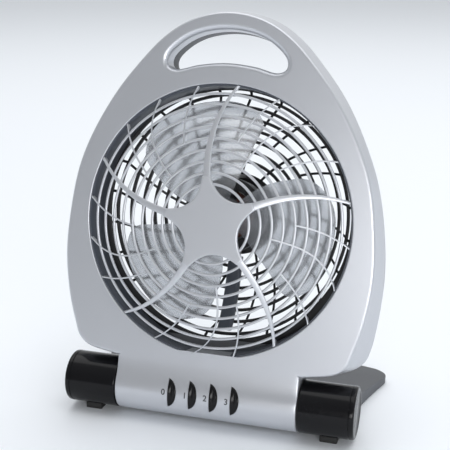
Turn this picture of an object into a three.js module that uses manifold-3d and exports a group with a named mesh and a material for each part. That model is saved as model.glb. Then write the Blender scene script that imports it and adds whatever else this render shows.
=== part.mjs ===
// Tabletop box fan: a silver tombstone-shaped housing with a carrying slot, tilting between the two
// drums of a dark stand. Millimetres, +Z up, the viewer in front at -Y. The ground is z = 0.
import * as THREE from 'three';
import { mergeVertices } from 'three/addons/utils/BufferGeometryUtils.js';
import Module from 'manifold-3d';

const wasm = await Module();
wasm.setup();

// ---------------------------------------------------------------- driving dimensions
const CLEARANCE = 0.3;

// Stand and tilt axis. The tilt axis runs along X.
const LEAN_DEG = 13.3;
const AXIS_HEIGHT = 25.5;
const AXIS_Y = -59.7;
const DRUM_R = 22.4;
const DRUM_IN = 81;
const DRUM_OUT = 123.4;
const CAP_OUT = 128;
const DRUM_WALL = 2.4;
const PIN_R = 4;
const PLATE_FRONT = 22.9;
const PLATE_REAR = 143;
const PLATE_WALL = 2.6;
const PLATE_LIFT = 0.8;

// Housing, in its own frame: origin at the middle of the round opening on the front face,
// +Y to the back and +Z up the face.
const DRUM_Y = 17.7;
const DRUM_Z = -149.7;
const OPENING_R = 115;
const FACE_WALL = 2.8;
const SIDE_WALL = 2.4;
const FRONT_DEPTH = 25;
const BACK_WALL_Y = 30.6;
const BACK_Y = 33;
const EDGE_ROUND = 2.4;
const GRIP_SPLIT = 17;
const GRIP_WALL = 2.4;
const MID_HALF = 80.2;
const MID_WALL = 2.6;
const DUCT_R = 113.5;
const DUCT_WALL = 2.3;

// Half outlines from the top centre to the bottom, as [x, z]. They match point for point.
const FRONT_HALF = [
  [0, 174], [29.4, 168.5], [54, 154], [79.5, 127], [98.3, 101.4], [116.5, 68], [127.3, 38],
  [133.6, -3], [134.9, -38], [130, -73.6], [122.8, -98.5], [118.6, -109.5], [110, -116.8], [83, -122.5],
];
const REAR_HALF = [
  [0, 177.8], [30.8, 172.3], [56.4, 157], [82.3, 129.3], [101.4, 103], [118.9, 69], [130.4, 38.5],
  [138.5, -2.5], [140.9, -38], [138.1, -74.5], [134, -98], [129.5, -108.5], [117, -117.5], [83, -122.5],
];
const SLOT_HALF = [
  [0, 159.7], [26, 155.4], [42, 146.4], [51, 136], [50.6, 128.8], [44, 125.6], [24, 130], [0, 132.3],
];

// Front grille: a shallow dome in front of the opening.
const DOME_DEPTH = 17.6;
const DOME_R = 112;
const DOME_POWER = 2.4;
const DOME_SHEAR = 0.085;
const RING_RADII = [32.9, 42.2, 51.5, 60.8, 70.2, 79.6, 89, 98, 106.7];
const RING_WIDTH = 2.3;
const RING_BACK = 2.6;
const RIB_PROUD = 0.5;
const RIB_BACK = 1.1;
const LAP = 0.3;
const RIB_START_DEG = 98;
const RIB_SWEEP_DEG = 14.2;
const RIB_POWER = 1.63;
// Thin ribs clockwise from each main one: angle at the rim, inner radius, sweep and its power.
const THIN_RIBS = [[18.5, 70.2, 10.3, 2], [36.9, 51.5, 16.4, 3.4], [54.6, 70.2, 12.5, 1.8]];
const FLANGE_R = 113.8;
const RIB_ROOT_R = 32;
const SPOKES = 5;
const STAR_NOTCH_R = 22.5;
const STAR_ARM_R = 40;
const STAR_ARM_HALF = 3.3;

// Rear grille: a deeper dome behind the housing, round the fan axis.
const FAN_Z = 4;
const REAR_DOME_Y = 34;
const REAR_DOME_DEPTH = 39;
const REAR_DOME_R = 107.5;
const REAR_RING_RADII = [48, 57.5, 67, 76.5, 86, 95.6, 105];
const REAR_RIBS = 12;
const REAR_RIB_START_DEG = 8.4;
const REAR_RIB_TWIST = 0.3;
const PLATE_R = 37;
const PLATE_Y = 71.8;

// Impeller and motor, along the fan axis.
const SHAFT_R = 3;
const HUB_R = 17;
const HUB_FRONT = 6;
const HUB_BACK = 27;
const BLADES = 3;
const BLADE_START_DEG = 105;
const BLADE_T = 1.8;
const STATOR_R = 31;
const ROTOR_R = 11.8;

// Push keys on the front of the middle drum.
const KEY_COUNT = 4;
const KEY_PITCH = 18.5;
const KEY_FIRST_X = -31.3;
const KEY_WIDTH = 7.2;
const KEY_HALF_HEIGHT = 12;
const KEY_Z = -149.1;
const KEY_PROUD = 1.2;

// Self-tapping screws that close the housing, as [x, z].
const SCREW_PLACES = [[-64, 121], [64, 121], [-112, -92], [112, -92]];
const SCREW_R = 1.45;

// ---------------------------------------------------------------- geometry helpers
const vec = (x, y, z) => new THREE.Vector3(x, y, z);
const radians = (degrees) => THREE.MathUtils.degToRad(degrees);
const onPlan = (point) => new THREE.Vector2(point.x, point.z);

function signedVolume(points, corners) {
  const [a, b, c] = [vec(0, 0, 0), vec(0, 0, 0), vec(0, 0, 0)];
  let sum = 0;
  for (let i = 0; i < corners.length; i += 3) {
    a.fromArray(points, corners[i] * 3);
    b.fromArray(points, corners[i + 1] * 3);
    c.fromArray(points, corners[i + 2] * 3);
    sum += a.dot(b.cross(c)) / 6;
  }
  return sum;
}

// A closed three.js geometry as a solid, with its faces pointing out.
function solid(geometry) {
  const bare = geometry.clone();
  bare.deleteAttribute('normal');
  bare.deleteAttribute('uv');
  const merged = mergeVertices(bare, 1e-4);
  const points = new Float32Array(merged.attributes.position.array);
  const corners = [];
  const index = merged.index.array;
  for (let i = 0; i < index.length; i += 3) {
    const [a, b, c] = [index[i], index[i + 1], index[i + 2]];
    if (a !== b && b !== c && c !== a) corners.push(a, b, c);
  }
  if (signedVolume(points, corners) < 0) corners.reverse();
  const mesh = { numProp: 3, vertProperties: points, triVerts: new Uint32Array(corners) };
  return new wasm.Manifold(new wasm.Mesh(mesh));
}

function geometryOf(body) {
  const mesh = body.getMesh();
  const geometry = new THREE.BufferGeometry();
  geometry.setAttribute('position', new THREE.BufferAttribute(mesh.vertProperties, 3));
  geometry.setIndex(new THREE.BufferAttribute(mesh.triVerts, 1));
  geometry.computeVertexNormals();
  return geometry;
}

// Skins a row of matching closed loops and caps both ends.
function loft(loops, flatten = onPlan) {
  const count = loops[0].length;
  const clockwise = THREE.ShapeUtils.isClockWise(loops[0].map(flatten));
  const rows = clockwise ? loops.map((loop) => [...loop].reverse()) : loops;
  const index = [];
  for (let row = 0; row < rows.length - 1; row += 1) {
    for (let i = 0; i < count; i += 1) {
      const next = (i + 1) % count;
      const [a, b] = [row * count + i, row * count + next];
      index.push(a, b, b + count, a, b + count, a + count);
    }
  }
  const last = (rows.length - 1) * count;
  for (const [a, b, c] of THREE.ShapeUtils.triangulateShape(rows[0].map(flatten), [])) index.push(a, c, b);
  for (const [a, b, c] of THREE.ShapeUtils.triangulateShape(rows.at(-1).map(flatten), [])) {
    index.push(last + a, last + b, last + c);
  }
  const geometry = new THREE.BufferGeometry().setFromPoints(rows.flat());
  geometry.setIndex(index);
  return solid(geometry);
}

const atDepth = (loop, y) => loop.map((point) => vec(point.x, y, point.z));

// Moves a loop on the XZ plane outwards by a distance, or inwards where it is negative.
function offset(loop, distance) {
  const side = THREE.ShapeUtils.isClockWise(loop.map(onPlan)) ? -1 : 1;
  return loop.map((point, i) => {
    const before = loop[(i + loop.length - 1) % loop.length];
    const after = loop[(i + 1) % loop.length];
    const run = after.clone().sub(before).normalize();
    return vec(point.x + side * run.z * distance, 0, point.z - side * run.x * distance);
  });
}

const mirrored = (half) => half.map(([x, z]) => vec(-x, 0, z));

// The closed outline of a half outline that starts and ends on the middle plane, or ends at a flat bottom.
function outline(half, steps) {
  const right = half.map(([x, z]) => vec(x, 0, z));
  const left = mirrored(half).reverse();
  const curve = new THREE.CatmullRomCurve3([...left.slice(0, -1), ...right], false, 'centripetal');
  return curve.getPoints((half.length - 1) * 2 * steps);
}

function closedOutline(half, steps) {
  const right = half.map(([x, z]) => vec(x, 0, z));
  const left = mirrored(half.slice(1, -1)).reverse();
  const curve = new THREE.CatmullRomCurve3([...right, ...left], true, 'centripetal');
  return curve.getPoints((right.length + left.length) * steps).slice(0, -1);
}

// A closed profile of [radius, y] points turned round the Y axis.
function turned(profile, segments = 32) {
  const points = profile.map(([r, y]) => new THREE.Vector2(r, y));
  points.push(points[0].clone());
  return solid(new THREE.LatheGeometry(points, segments));
}

const ring = (inner, outer, y0, y1, segments = 32) =>
  turned([[inner, y0], [outer, y0], [outer, y1], [inner, y1]], segments);

const disc = (radius, y0, y1, segments = 24) => {
  const geometry = new THREE.CylinderGeometry(radius, radius, y1 - y0, segments);
  return solid(geometry.translate(0, (y0 + y1) / 2, 0));
};

const box = (x0, x1, y0, y1, z0, z1) => {
  const geometry = new THREE.BoxGeometry(x1 - x0, y1 - y0, z1 - z0);
  return solid(geometry.translate((x0 + x1) / 2, (y0 + y1) / 2, (z0 + z1) / 2));
};

// A cylinder along X round the tilt axis of the housing frame.
const axle = (radius, x0, x1, segments = 24) => {
  const geometry = new THREE.CylinderGeometry(radius, radius, x1 - x0, segments);
  return solid(geometry.rotateZ(Math.PI / 2).translate((x0 + x1) / 2, DRUM_Y, DRUM_Z));
};

// A shape drawn in (y, z), drawn out along X.
function along(shape, x0, x1, curveSegments = 12) {
  const geometry = new THREE.ExtrudeGeometry(shape, { depth: x1 - x0, bevelEnabled: false, curveSegments });
  geometry.applyMatrix4(new THREE.Matrix4().makeBasis(vec(0, 1, 0), vec(0, 0, 1), vec(1, 0, 0)));
  return solid(geometry.translate(x0, 0, 0));
}

// A shape drawn in (x, z), drawn out along Y.
function through(shape, y0, y1, curveSegments = 12) {
  const geometry = new THREE.ExtrudeGeometry(shape, { depth: y1 - y0, bevelEnabled: false, curveSegments });
  return solid(geometry.rotateX(Math.PI / 2).translate(0, y1, 0));
}

const moved = (body, x, y, z) => body.translate([x, y, z]);
const joined = (bodies) => bodies.reduce((sum, body) => sum.add(body));

// A tapering bar over a domed surface. Each station is { r, degrees, half, front, back }.
function bar(stations) {
  const loops = stations.map(({ r, degrees, half, front, back }) => {
    const angle = radians(degrees);
    const out = vec(Math.cos(angle), 0, Math.sin(angle)).multiplyScalar(r);
    const side = vec(-Math.sin(angle), 0, Math.cos(angle)).multiplyScalar(half);
    const [left, right] = [out.clone().add(side), out.clone().sub(side)];
    return [vec(left.x, front, left.z), vec(right.x, front, right.z),
      vec(right.x, back, right.z), vec(left.x, back, left.z)];
  });
  const across = loops[0][0].clone().sub(loops[0][1]).normalize();
  return loft(loops, (point) => new THREE.Vector2(point.dot(across), point.y));
}

// ---------------------------------------------------------------- materials
const finish = (color, roughness, metalness = 0) =>
  new THREE.MeshStandardMaterial({ color, roughness, metalness });
const silver = finish(0xb9bcc2, 0.38, 0.35);
const graphite = finish(0x4a4d52, 0.5);
const black = finish(0x17181b, 0.35);
const blackGrille = finish(0x101114, 0.5);
const smoke = finish(0xa7a9ad, 0.35);
const steel = finish(0x9a9ca0, 0.35, 0.9);
const lamination = finish(0x6d6f72, 0.5, 0.8);
const copper = finish(0x8a4a32, 0.4, 0.7);
const rubber = finish(0x1b1b1c, 0.85);

// ---------------------------------------------------------------- assembly tree
const fan = new THREE.Group();
const stand = new THREE.Group();
stand.position.set(0, AXIS_Y, AXIS_HEIGHT);
fan.add(stand);

const leaning = new THREE.Group();
leaning.position.set(0, AXIS_Y, AXIS_HEIGHT);
leaning.rotation.x = -radians(LEAN_DEG);
fan.add(leaning);

const housing = new THREE.Group();
housing.position.set(0, -DRUM_Y, -DRUM_Z);
leaning.add(housing);

const fanAxis = new THREE.Group();
fanAxis.position.set(0, 0, FAN_Z);
housing.add(fanAxis);

function add(group, name, body, material) {
  const mesh = new THREE.Mesh(geometryOf(body), material);
  mesh.name = name;
  group.add(mesh);
  return mesh;
}

// ---------------------------------------------------------------- housing shells
const frontEdge = outline(FRONT_HALF, 2);
const rearEdge = outline(REAR_HALF, 2);
const slotEdge = closedOutline(SLOT_HALF, 2);

// The middle drum's skin and end walls, as profiles in (y, z).
const MID_TOP_Z = -114;
const REAR_MID_TOP_Z = -104;
const BLEND_DEG = 158;
const SEAM_DEG = 0.5;

function frontMidProfile(inset) {
  const radius = DRUM_R - inset;
  const [cos, sin] = [Math.cos(radians(BLEND_DEG)), Math.sin(radians(BLEND_DEG))];
  const touch = new THREE.Vector2(DRUM_Y + radius * cos, DRUM_Z + radius * sin);
  const shape = new THREE.Shape();
  shape.moveTo(DRUM_Y - 0.2, MID_TOP_Z + inset);
  shape.lineTo(inset, MID_TOP_Z + inset);
  shape.lineTo(inset, -122);
  shape.quadraticCurveTo(inset, touch.y + ((inset - touch.x) * -cos) / sin, touch.x, touch.y);
  shape.absarc(DRUM_Y, DRUM_Z, radius, radians(BLEND_DEG), radians(270 - SEAM_DEG), false);
  return shape;
}

function rearMidProfile(inset) {
  const radius = DRUM_R - inset;
  const back = BACK_Y - inset;
  const tangent = Math.acos((back - DRUM_Y) / radius);
  const shape = new THREE.Shape();
  shape.moveTo(DRUM_Y + 0.2, REAR_MID_TOP_Z + inset);
  shape.absarc(DRUM_Y, DRUM_Z, radius, radians(SEAM_DEG - 90), tangent, false);
  shape.lineTo(back, REAR_MID_TOP_Z + inset);
  return shape;
}

const MID_ARC_STEPS = 10;
const midCut = box(-MID_HALF - 0.6, MID_HALF + 0.6, DRUM_Y - 0.2, FRONT_DEPTH + 1, -125, REAR_MID_TOP_Z);
const midPassage = box(-MID_HALF + MID_WALL, MID_HALF - MID_WALL, FACE_WALL, FRONT_DEPTH + 1, -126, -112);
const pinHoles = axle(PIN_R + CLEARANCE, -MID_HALF - 1, MID_HALF + 1);

const slotCut = loft([
  atDepth(offset(slotEdge, 4.2), -0.6),
  atDepth(offset(slotEdge, 2.6), 0),
  atDepth(offset(slotEdge, 1), 0.8),
  atDepth(offset(slotEdge, 0.1), 2.4),
  atDepth(slotEdge, GRIP_SPLIT + 1),
]);

// D-shaped key outline: a straight left edge at x and a bulging right edge.
function keyOutline(x, grow) {
  const half = KEY_HALF_HEIGHT + grow;
  const shape = new THREE.Shape();
  shape.moveTo(x - grow, KEY_Z - half);
  shape.bezierCurveTo(x + KEY_WIDTH * 1.33 + grow, KEY_Z - half * 0.75,
    x + KEY_WIDTH * 1.33 + grow, KEY_Z + half * 0.75, x - grow, KEY_Z + half);
  return shape;
}
const keyX = (i) => KEY_FIRST_X + KEY_PITCH * i;

function makeFrontHousing() {
  const skin = loft([
    atDepth(offset(frontEdge, -EDGE_ROUND), 0),
    atDepth(offset(frontEdge, -0.7), 0.7),
    atDepth(frontEdge, EDGE_ROUND),
    atDepth(rearEdge, FRONT_DEPTH),
  ]);
  const cavity = loft([
    atDepth(offset(frontEdge, -SIDE_WALL - 0.3), FACE_WALL),
    atDepth(offset(rearEdge, -SIDE_WALL), FRONT_DEPTH + 0.5),
  ]);
  const gripWall = offset(slotEdge, GRIP_WALL);
  let body = skin.subtract(cavity);
  body = body.add(loft([atDepth(gripWall, 1.5), atDepth(gripWall, GRIP_SPLIT)]));
  body = body.subtract(midCut).subtract(midPassage);
  const middle = along(frontMidProfile(0), -MID_HALF, MID_HALF, MID_ARC_STEPS);
  const hollow = along(frontMidProfile(MID_WALL), -MID_HALF + MID_WALL, MID_HALF - MID_WALL, MID_ARC_STEPS);
  const openBack = box(-MID_HALF + MID_WALL, MID_HALF - MID_WALL, 10, FRONT_DEPTH, -169.4, -118);
  body = body.add(middle.subtract(hollow).subtract(openBack).subtract(midPassage));
  body = body.subtract(slotCut).subtract(disc(OPENING_R, -1, FACE_WALL + 0.1, 56)).subtract(pinHoles);
  for (let i = 0; i < KEY_COUNT; i += 1) {
    body = body.subtract(through(keyOutline(keyX(i), 0.35), -12, 6, 7));
  }
  for (const [x, z] of SCREW_PLACES) {
    const post = disc(4.2, FACE_WALL - 0.5, BACK_WALL_Y - CLEARANCE, 12);
    const pilot = disc(SCREW_R + CLEARANCE, 12, BACK_WALL_Y + 1, 8);
    body = body.add(moved(post, x, 0, z)).subtract(moved(pilot, x, 0, z));
  }
  return body;
}

function makeRearHousing() {
  const start = FRONT_DEPTH + CLEARANCE;
  const skin = loft([
    atDepth(offset(rearEdge, -0.8), start),
    atDepth(offset(rearEdge, -3.5), 30),
    atDepth(offset(rearEdge, -9), BACK_Y),
  ]);
  const cavity = loft([
    atDepth(offset(rearEdge, -3.2), start - 0.5),
    atDepth(offset(rearEdge, -6), BACK_WALL_Y),
  ]);
  const gripWall = offset(slotEdge, GRIP_WALL);
  const gripStart = GRIP_SPLIT + CLEARANCE;
  let body = skin.subtract(cavity);
  body = body.add(ring(DUCT_R, DUCT_R + DUCT_WALL, 5.4, BACK_WALL_Y + 1, 56));
  body = body.subtract(disc(DUCT_R, BACK_WALL_Y - 1, BACK_Y + 1, 56));
  body = body.add(loft([atDepth(gripWall, gripStart), atDepth(gripWall, BACK_Y - 1)]));
  body = body.subtract(loft([
    atDepth(slotEdge, gripStart - 1),
    atDepth(slotEdge, BACK_Y - 2.4),
    atDepth(offset(slotEdge, 2.2), BACK_Y + 0.5),
  ]));
  const middle = along(rearMidProfile(0), -MID_HALF, MID_HALF, MID_ARC_STEPS);
  const hollow = along(rearMidProfile(MID_WALL), -MID_HALF + MID_WALL, MID_HALF - MID_WALL, MID_ARC_STEPS);
  const inside = MID_HALF - MID_WALL;
  const openFront = box(-inside, inside, 10, BACK_Y - MID_WALL, -169.4, REAR_MID_TOP_Z + 1);
  body = body.add(middle.subtract(hollow).subtract(openFront)).subtract(pinHoles);
  body = body.subtract(moved(disc(4.4, 30, 45, 16), CORD_X, 0, DRUM_Z + 2));
  for (const [x, z] of SCREW_PLACES) {
    const hole = disc(SCREW_R + CLEARANCE, 28, BACK_Y + 1, 8).add(disc(3.6, BACK_Y - 1.5, BACK_Y + 1, 10));
    body = body.subtract(moved(hole, x, 0, z));
  }
  return body;
}

const CORD_X = -52;
add(housing, 'front_housing', makeFrontHousing(), silver);
add(housing, 'rear_housing', makeRearHousing(), graphite);

for (const [i, [x, z]] of SCREW_PLACES.entries()) {
  const head = disc(3.2, BACK_Y - 1.2, BACK_Y + 0.6, 10);
  const shank = disc(SCREW_R, 17, BACK_Y - 1, 6);
  add(housing, `housing_screw_${i + 1}`, moved(head.add(shank), x, 0, z), steel);
}

const grommet = turned([[2.4, 37.4], [4.1, 37.4], [4.1, 40.6], [6, 40.6], [5.2, 43], [2.4, 43]], 16);
add(housing, 'cord_inlet', moved(grommet, CORD_X, 0, DRUM_Z + 2), rubber);

// ---------------------------------------------------------------- front grille
const domeDepth = (r) => (r < DOME_R ? DOME_DEPTH * (1 - (r / DOME_R) ** DOME_POWER) : 0);
const sweep = (r, power) => 1 - (Math.max(r - RIB_ROOT_R, 0) / (OPENING_R - RIB_ROOT_R)) ** power;

// One rib from an inner radius to the rim. It bends by sweepDeg on the way to its rim angle.
function grilleRib(inner, rimDeg, sweepDeg, power, halfAt) {
  const steps = Math.max(4, Math.round((OPENING_R - inner) / 14));
  const radii = Array.from({ length: steps }, (_, i) => inner + ((109 - inner) * i) / (steps - 1));
  const stations = [...radii, 112.9, 114.3].map((r) => ({
    r,
    degrees: rimDeg + (sweepDeg * sweep(r, power)) / sweep(inner, power),
    half: halfAt(r),
    front: -domeDepth(r) - RIB_PROUD,
    back: r > 110 ? 4.6 : -domeDepth(r) + RIB_BACK,
  }));
  return bar(stations);
}

function makeFrontGrille() {
  const parts = RING_RADII.map((r) => {
    const face = -domeDepth(r);
    const segments = Math.round(15 + r * 0.17);
    return ring(r - RING_WIDTH / 2, r + RING_WIDTH / 2, face + RIB_BACK - LAP, face + RING_BACK, segments);
  });
  parts.push(ring(FLANGE_R, 119, FACE_WALL + 0.5, 5, 40));
  const star = new THREE.Shape();
  for (let k = 0; k < SPOKES; k += 1) {
    const arm = radians(RIB_START_DEG + (360 / SPOKES) * k);
    const notch = arm + Math.PI / SPOKES;
    const tip = (side) => [STAR_ARM_R * Math.cos(arm) - side * STAR_ARM_HALF * Math.sin(arm),
      STAR_ARM_R * Math.sin(arm) + side * STAR_ARM_HALF * Math.cos(arm)];
    const next = arm + (2 * Math.PI) / SPOKES;
    const nextTip = [STAR_ARM_R * Math.cos(next) + STAR_ARM_HALF * Math.sin(next),
      STAR_ARM_R * Math.sin(next) - STAR_ARM_HALF * Math.cos(next)];
    const control = [(STAR_NOTCH_R - 7) * Math.cos(notch), (STAR_NOTCH_R - 7) * Math.sin(notch)];
    if (k === 0) star.moveTo(...tip(-1));
    star.lineTo(...tip(1));
    star.quadraticCurveTo(...control, ...nextTip);
  }
  parts.push(through(star, -DOME_DEPTH - RIB_PROUD, -DOME_DEPTH + 2.6, 6));
  for (let k = 0; k < SPOKES; k += 1) {
    const rim = RIB_START_DEG + (360 / SPOKES) * k - RIB_SWEEP_DEG;
    const taper = (r) => 3.4 - (2.1 * (r - RIB_ROOT_R)) / 83;
    parts.push(grilleRib(RIB_ROOT_R, rim, RIB_SWEEP_DEG, RIB_POWER, taper));
    for (const [step, inner, bend, power] of THIN_RIBS) {
      parts.push(grilleRib(inner, rim - step, bend, power, () => 1));
    }
  }
  const shear = new THREE.Matrix4().makeShear(0, 0, 0, DOME_SHEAR, 0, 0);
  return joined(parts).transform(shear.elements);
}
add(housing, 'front_grille', makeFrontGrille(), silver);

// ---------------------------------------------------------------- rear grille and wire channel
const rearDome = (r) => REAR_DOME_Y + REAR_DOME_DEPTH * Math.sqrt(Math.max(0, 1 - (r / REAR_DOME_R) ** 2));

function makeRearGrille() {
  const parts = REAR_RING_RADII.map((r) => {
    const y = rearDome(r);
    return ring(r - 1, r + 1, y - 3.4, y + 0.8, Math.round(14 + r * 0.14));
  });
  parts.push(ring(108.4, 118.5, BACK_Y + CLEARANCE, 35.6, 40));
  parts.push(disc(PLATE_R, PLATE_Y, PLATE_Y + 2.4, 24));
  for (let k = 0; k < REAR_RIBS; k += 1) {
    const radii = [35, 52, 70, 85, 97, 104, 106.8];
    const stations = radii.map((r) => ({
      r,
      degrees: REAR_RIB_START_DEG + (360 / REAR_RIBS) * k + REAR_RIB_TWIST * (105 - r),
      half: 0.95,
      front: rearDome(r) + 0.5,
      back: rearDome(r) + 2.2,
    }));
    const end = stations.at(-1);
    stations.push({ ...end, r: 109.5, front: BACK_Y + 0.6, back: 37.4 });
    parts.push(bar(stations));
  }
  return joined(parts);
}
add(fanAxis, 'rear_grille', makeRearGrille(), blackGrille);

function makeWireChannel() {
  const shape = new THREE.Shape();
  const radii = [38, 48, 60, 72, 84, 92, 98, 101];
  const back = radii.map((r) => new THREE.Vector2(rearDome(r) - 5.2, -r));
  const front = radii.map((r) => new THREE.Vector2(rearDome(r) - 12.5, -r)).reverse();
  shape.setFromPoints([...back, ...front]);
  return along(shape, -3.5, 9.5);
}
add(fanAxis, 'wire_channel', makeWireChannel(), black);

// ---------------------------------------------------------------- impeller
// Each station: radius, angles of the two edges from the blade's middle in degrees, and their depths.
const BLADE_STATIONS = [
  [15, 52, -28, 9, 25], [28, 55, -30, 9, 28], [45, 53, -32, 8.5, 30.5], [65, 47, -33.3, 8.5, 32],
  [80, 42.5, -34.5, 9, 32.5], [88, 37, -32.5, 10, 31.5], [94, 30, -27, 12, 30], [98.5, 18, -14, 15.5, 26],
];

function bladeLoop([r, frontDeg, backDeg, front, back], centreDeg) {
  const chord = 7;
  const edge = (thickness) => Array.from({ length: chord }, (_, i) => {
    const t = i / (chord - 1);
    const angle = radians(centreDeg + frontDeg + (backDeg - frontDeg) * t);
    const camber = 2.2 * Math.sin(Math.PI * t);
    const taper = thickness * (0.35 + 0.65 * Math.sin(Math.PI * Math.min(Math.max(t, 0.12), 0.88)));
    return vec(r * Math.cos(angle), front + (back - front) * t - camber + taper, r * Math.sin(angle));
  });
  return [...edge(-BLADE_T / 2), ...edge(BLADE_T / 2).reverse()];
}

function makeImpeller() {
  const hub = turned([
    [SHAFT_R + CLEARANCE, HUB_FRONT], [HUB_R - 3, HUB_FRONT], [HUB_R, HUB_FRONT + 3], [HUB_R, HUB_BACK],
    [HUB_R - 2, HUB_BACK], [HUB_R - 2, HUB_FRONT + 4], [6.5, HUB_FRONT + 4], [6.5, HUB_BACK],
    [SHAFT_R + CLEARANCE, HUB_BACK],
  ], 28);
  const blades = Array.from({ length: BLADES }, (_, k) => {
    const centre = BLADE_START_DEG + (360 / BLADES) * k;
    const loops = BLADE_STATIONS.map((station) => bladeLoop(station, centre));
    const turn = radians(centre);
    const across = vec(-Math.sin(turn), 0, Math.cos(turn));
    return loft(loops, (point) => new THREE.Vector2(point.dot(across), point.y));
  });
  return joined([hub, ...blades]).subtract(ring(6.5, HUB_R - 2, HUB_FRONT + 4, HUB_BACK + 6, 28));
}
add(fanAxis, 'impeller', makeImpeller(), smoke);
const nut = disc(7, 2, HUB_FRONT - CLEARANCE, 6).subtract(disc(SHAFT_R + CLEARANCE, 0, HUB_FRONT, 12));
add(fanAxis, 'impeller_nut', nut, black);
add(fanAxis, 'motor_shaft', disc(SHAFT_R, 0.5, 71, 12), steel);
add(fanAxis, 'motor_rotor', ring(SHAFT_R + CLEARANCE, ROTOR_R, 46.3, 59.7, 16), lamination);

// ---------------------------------------------------------------- motor
add(fanAxis, 'motor_stator', ring(ROTOR_R + 0.6, STATOR_R, 46, 60, 20), lamination);
const coilFront = [[12.5, 41], [14, 39.6], [19.5, 39.6], [21, 41], [21, 45.7], [12.5, 45.7]];
const coilRear = [[12.5, 60.3], [21, 60.3], [21, 64], [19.5, 65.4], [14, 65.4], [12.5, 64]];
add(fanAxis, 'motor_coil_front', turned(coilFront, 16), copper);
add(fanAxis, 'motor_coil_rear', turned(coilRear, 16), copper);

function makeFrontBracket() {
  const bridge = box(-7, 7, 34, 37, -36, 36).add(disc(11, 34, 37.4, 16));
  const legs = box(-7, 7, 34, 65.7, 33, 36).add(box(-7, 7, 34, 65.7, -36, -33));
  const cover = ring(23.5, 33, 36.5, 42, 24);
  return joined([bridge, legs, cover]).subtract(disc(7.3, 30, 40, 12));
}
add(fanAxis, 'motor_front_bracket', makeFrontBracket(), black);
add(fanAxis, 'motor_rear_bracket', disc(34, 66, 71.5, 20).subtract(disc(7.3, 60, 75, 12)), black);
add(fanAxis, 'front_bearing', ring(SHAFT_R + CLEARANCE, 7, 33.6, 37.4, 12), steel);
add(fanAxis, 'rear_bearing', ring(SHAFT_R + CLEARANCE, 7, 66, 70.8, 12), steel);

// ---------------------------------------------------------------- switch block and keys
const BLOCK_FRONT = 6;
const STEM = 1.9;
function makeSwitchBlock() {
  let body = box(-42, 42, BLOCK_FRONT, 27, KEY_Z - 10, KEY_Z + 9);
  for (let i = 0; i < KEY_COUNT; i += 1) {
    const x = keyX(i) + KEY_WIDTH / 2;
    const slot = box(x - STEM - 0.35, x + STEM + 0.35, BLOCK_FRONT - 1, 20, KEY_Z - 4.35, KEY_Z + 4.35);
    body = body.subtract(slot);
  }
  return body;
}
add(housing, 'switch_block', makeSwitchBlock(), black);

for (let i = 0; i < KEY_COUNT; i += 1) {
  const x = keyX(i);
  const cap = through(keyOutline(x, 0), -12, 6, 7)
    .intersect(axle(DRUM_R + KEY_PROUD, x - 5, x + 15, 40))
    .subtract(axle(DRUM_R - MID_WALL - 1.6, x - 6, x + 16, 36));
  const lip = through(keyOutline(x, 1), -12, 6, 7)
    .intersect(axle(DRUM_R - MID_WALL - 0.6, x - 5, x + 15, 36))
    .subtract(axle(DRUM_R - MID_WALL - 2.2, x - 6, x + 16, 36));
  const lipFront = lip.intersect(box(x - 5, x + 15, -12, 5, KEY_Z - 13, KEY_Z + 13));
  const middle = x + KEY_WIDTH / 2;
  const stem = box(middle - STEM, middle + STEM, -2, 14, KEY_Z - 4, KEY_Z + 4);
  add(housing, `key_${i}`, joined([cap, lipFront, stem]), black);
  const spring = ring(4.9, 5.7, 4.2, BLOCK_FRONT - CLEARANCE, 8);
  add(housing, `key_spring_${i}`, moved(spring, middle, 0, KEY_Z), steel);
}

// ---------------------------------------------------------------- stand
const STAND_SCREW_X = 102;
const STAND_SCREW_Z = -9.5;
const standTurned = (profile, segments) => turned(profile, segments).rotate([0, 0, -90]);
const standScrewHole = (side) => moved(box(-1.8, 1.8, 14, 27, -1.8, 1.8), side * STAND_SCREW_X, 0, STAND_SCREW_Z);

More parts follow.
